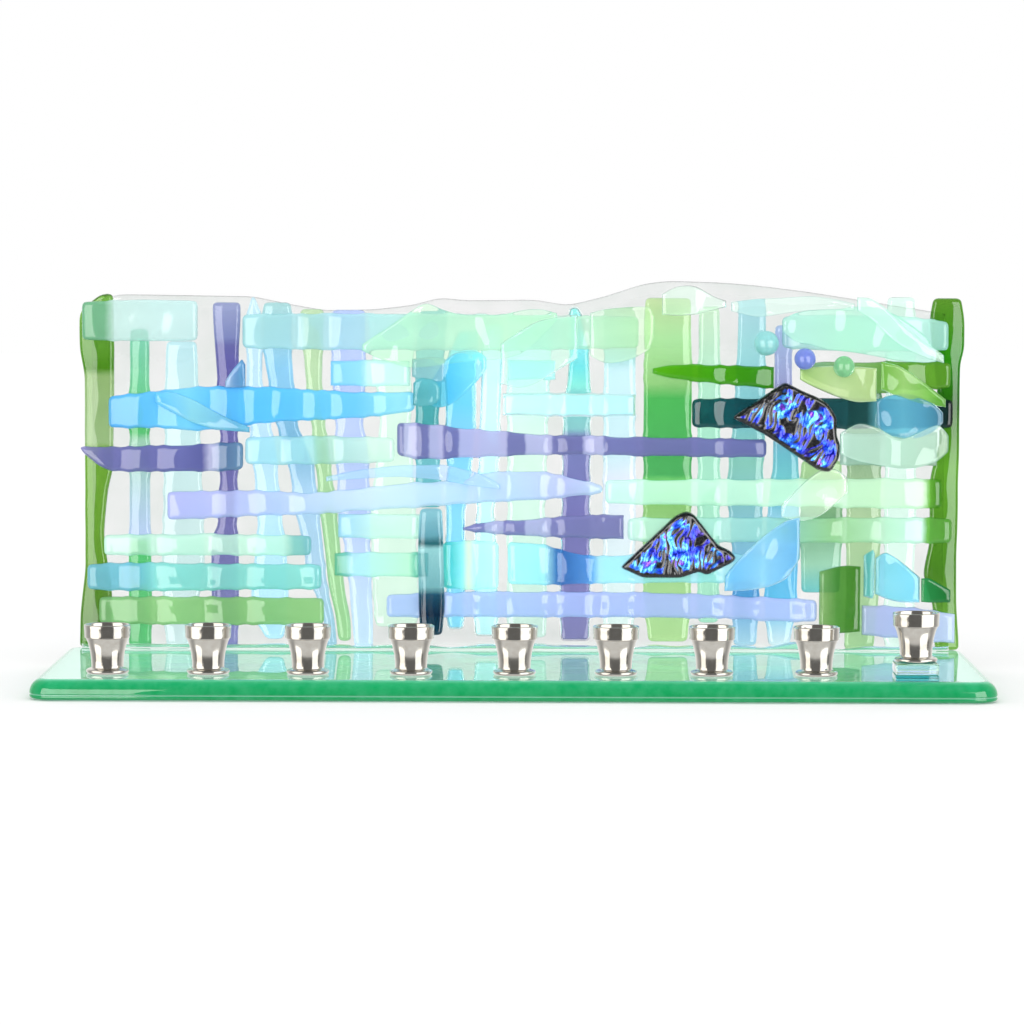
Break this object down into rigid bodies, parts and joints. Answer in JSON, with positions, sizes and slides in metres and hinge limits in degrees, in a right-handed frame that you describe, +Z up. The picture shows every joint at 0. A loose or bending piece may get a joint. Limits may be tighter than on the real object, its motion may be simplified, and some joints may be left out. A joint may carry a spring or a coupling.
{
  "type": "menorah",
  "caption": "Fused-glass menorah: green glass base, upright woven panel of coloured glass strips, a row of metal candle cups and a raised shamash cup on a glass block.",
  "frame": {"origin": "middle of the base's underside", "axes": "+X along the base towards the shamash, +Y towards the back, +Z up"},
  "size_m": [0.3556, 0.127, 0.1521],
  "materials": {
    "glass_aqua": "translucent coloured glass, fire polished",
    "glass_ball_aqua": "translucent coloured glass, fire polished",
    "glass_ball_blue": "translucent coloured glass, fire polished",
    "glass_ball_green": "translucent coloured glass, fire polished",
    "glass_base_green": "transparent emerald glass with seed bubbles, fire polished",
    "glass_blue_wave": "translucent coloured glass, fire polished",
    "glass_border_green": "translucent coloured glass, fire polished",
    "glass_clear": "clear fused glass, fire polished",
    "glass_dark_teal": "translucent coloured glass, fire polished",
    "glass_dichroic": "black glass with a rippled dichroic film in blue, cyan and violet under clear",
    "glass_green": "translucent coloured glass, fire polished",
    "glass_lavender": "translucent coloured glass, fire polished",
    "glass_light_green": "translucent coloured glass, fire polished",
    "glass_mint": "translucent coloured glass, fire polished",
    "glass_navy": "translucent coloured glass, fire polished",
    "glass_olive_green": "translucent coloured glass, fire polished",
    "glass_pale_cyan": "translucent coloured glass, fire polished",
    "glass_purple": "translucent coloured glass, fire polished",
    "glass_sea_blue": "translucent coloured glass, fire polished",
    "glass_sky": "translucent coloured glass, fire polished",
    "glass_teal": "translucent coloured glass, fire polished",
    "glass_turquoise": "translucent coloured glass, fire polished",
    "plated_metal": "polished nickel plate"
  },
  "bodies": {
    "root": {"ball_aqua": "glass_ball_aqua", "ball_blue": "glass_ball_blue", "ball_green": "glass_ball_green", "base_lower_sheet": "glass_base_green", "base_upper_sheet": "glass_base_green", "border_left": "glass_border_green", "border_right": "glass_border_green", "candle_cup_1": "plated_metal", "candle_cup_2": "plated_metal", "candle_cup_3": "plated_metal", "candle_cup_4": "plated_metal", "candle_cup_5": "plated_metal", "candle_cup_6": "plated_metal", "candle_cup_7": "plated_metal", "candle_cup_8": "plated_metal", "dichroic_lower": "glass_dichroic", "dichroic_upper": "glass_dichroic", "level_01_aqua": "glass_aqua", "level_02_sky": "glass_sky", "level_03_purple": "glass_purple", "level_04_lavender": "glass_lavender", "level_05_mint": "glass_mint", "level_06_turquoise": "glass_turquoise", "level_07_light_green": "glass_light_green", "level_08_mint": "glass_mint", "level_09_mint": "glass_mint", "level_10_purple": "glass_purple", "level_11_turquoise": "glass_turquoise", "level_12_blue_wave": "glass_blue_wave", "level_13_mint": "glass_mint", "level_14_green": "glass_light_green", "level_15_dark_teal": "glass_dark_teal", "level_16_aqua": "glass_aqua", "level_17_green": "glass_border_green", "level_18_lavender": "glass_lavender", "panel_back_sheet": "glass_clear", "shamash_block": "glass_clear", "shamash_cup": "plated_metal", "upright_01_green": "glass_green", "upright_02_aqua": "glass_aqua", "upright_03_purple": "glass_purple", "upright_04_cyan": "glass_pale_cyan", "upright_05_teal": "glass_teal", "upright_06_light_green": "glass_light_green", "upright_07_lavender": "glass_lavender", "upright_08_mint": "glass_mint", "upright_09_teal": "glass_teal", "upright_10_navy": "glass_navy", "upright_11_sky": "glass_sky", "upright_12_cyan": "glass_pale_cyan", "upright_13_mint": "glass_mint", "upright_14_purple": "glass_purple", "upright_15_cyan": "glass_pale_cyan", "upright_16_green": "glass_green", "upright_17_mint": "glass_olive_green", "upright_18_blue": "glass_sea_blue", "upright_19_sky": "glass_sky", "upright_20_olive": "glass_olive_green", "upright_21_light_green": "glass_light_green", "upright_22_mint": "glass_mint"}
  },
  "joints": []
}
